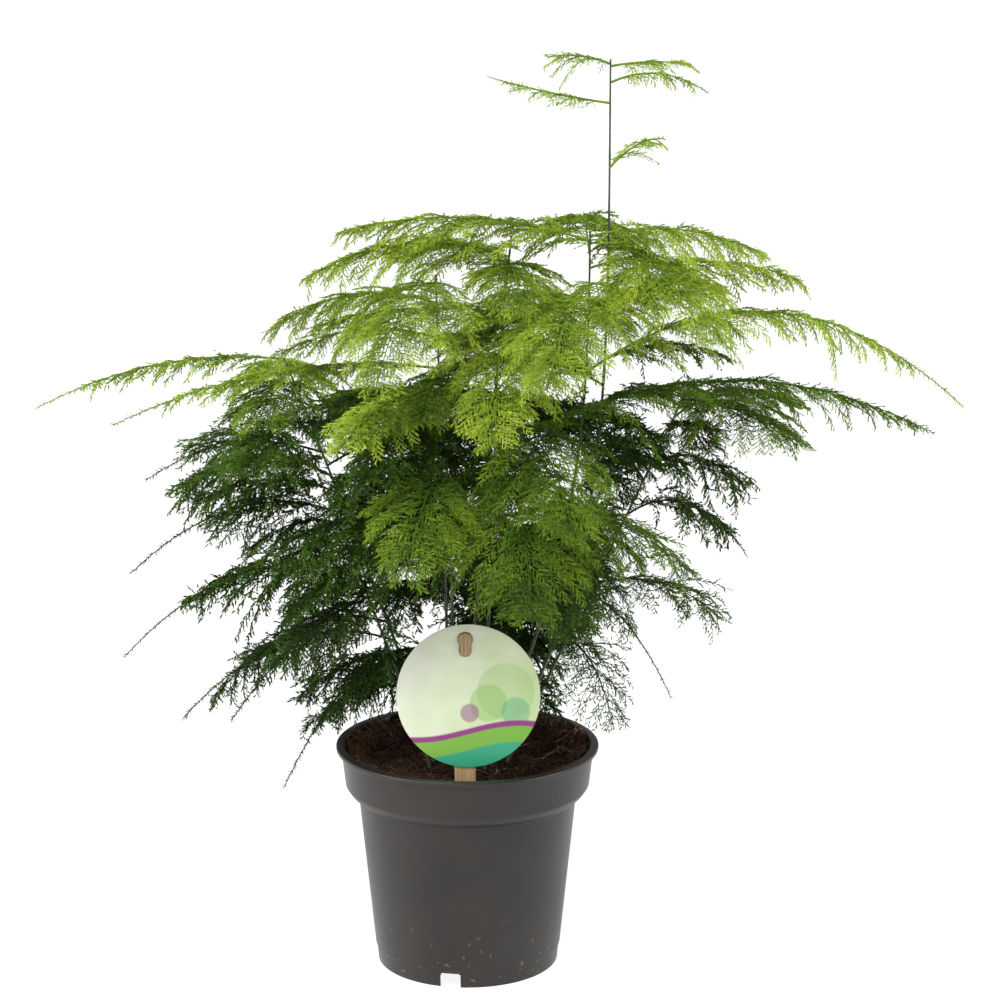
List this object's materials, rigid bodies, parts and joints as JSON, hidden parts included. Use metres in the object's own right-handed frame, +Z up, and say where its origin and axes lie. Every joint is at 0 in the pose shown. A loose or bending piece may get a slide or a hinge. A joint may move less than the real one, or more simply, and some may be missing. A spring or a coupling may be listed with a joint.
{
  "type": "potted lace fern",
  "caption": "Potted asparagus fern with arching lacy fronds on wiry stems, in a round plastic nursery pot of soil with a round plant label on a flat wooden stick.",
  "frame": {"origin": "on the ground under the pot's axis, at the middle of the pot's underside", "axes": "+Z up along the pot's axis, -Y towards the viewer and the front of the label, +X to the viewer's right"},
  "size_m": [0.4154, 0.2728, 0.4145],
  "materials": {
    "pot": "satin moulded plastic, dark grey brown",
    "soil": "loose dark brown peat",
    "wood": "plain sanded pale wood",
    "label": "printed card-like plastic, pale green",
    "stem": "smooth green bark",
    "young": "fine yellow-green foliage",
    "mid": "fine mid green foliage",
    "old": "fine dark green foliage"
  },
  "bodies": {
    "root": {"pot": "pot", "soil": "soil", "label": "label", "label_stick": "wood", "stem_tall": "stem", "stem_centre": "stem", "stem_left_upright": "stem", "stem_mid": "stem", "stem_left": "stem", "stem_right": "stem", "stem_front_left": "stem", "stem_front_right": "stem", "stem_low_left": "stem", "stem_back": "stem", "frond_crown_right": "young", "frond_crown_left": "young", "frond_crown_right_low": "young", "frond_crown_left_low": "young", "frond_crown_front": "young", "frond_top_right": "young", "frond_top_left": "young", "frond_top_back": "young", "frond_top_front": "young", "frond_high_left": "young", "frond_high_front": "young", "frond_high_back": "young", "frond_upper_left": "young", "frond_upper_front": "young", "frond_high_right": "young", "frond_high_front_right": "young", "frond_high_back_right": "young", "frond_right_long": "young", "frond_right_long_low": "mid", "frond_left_long": "young", "frond_left_long_low": "young", "frond_left_mid": "young", "frond_left_front": "old", "frond_front_mid": "young", "frond_front_left_mid": "young", "frond_right_mid": "mid", "frond_right_back": "mid", "frond_front_high": "mid", "frond_front_broad": "mid", "frond_front_left": "mid", "frond_front_right": "mid", "frond_dark_left_top": "old", "frond_dark_left_back": "old", "frond_dark_left_mid": "old", "frond_dark_left_front": "old", "frond_low_left": "old", "frond_low_left_front": "old", "frond_lowest_left": "old", "frond_drooping_left": "old", "frond_dark_right_top": "old", "frond_dark_right": "old", "frond_low_right": "old", "frond_drooping_right": "old", "frond_low_front_right": "old", "frond_back_high": "mid", "frond_back_left": "mid"}
  },
  "joints": []
}
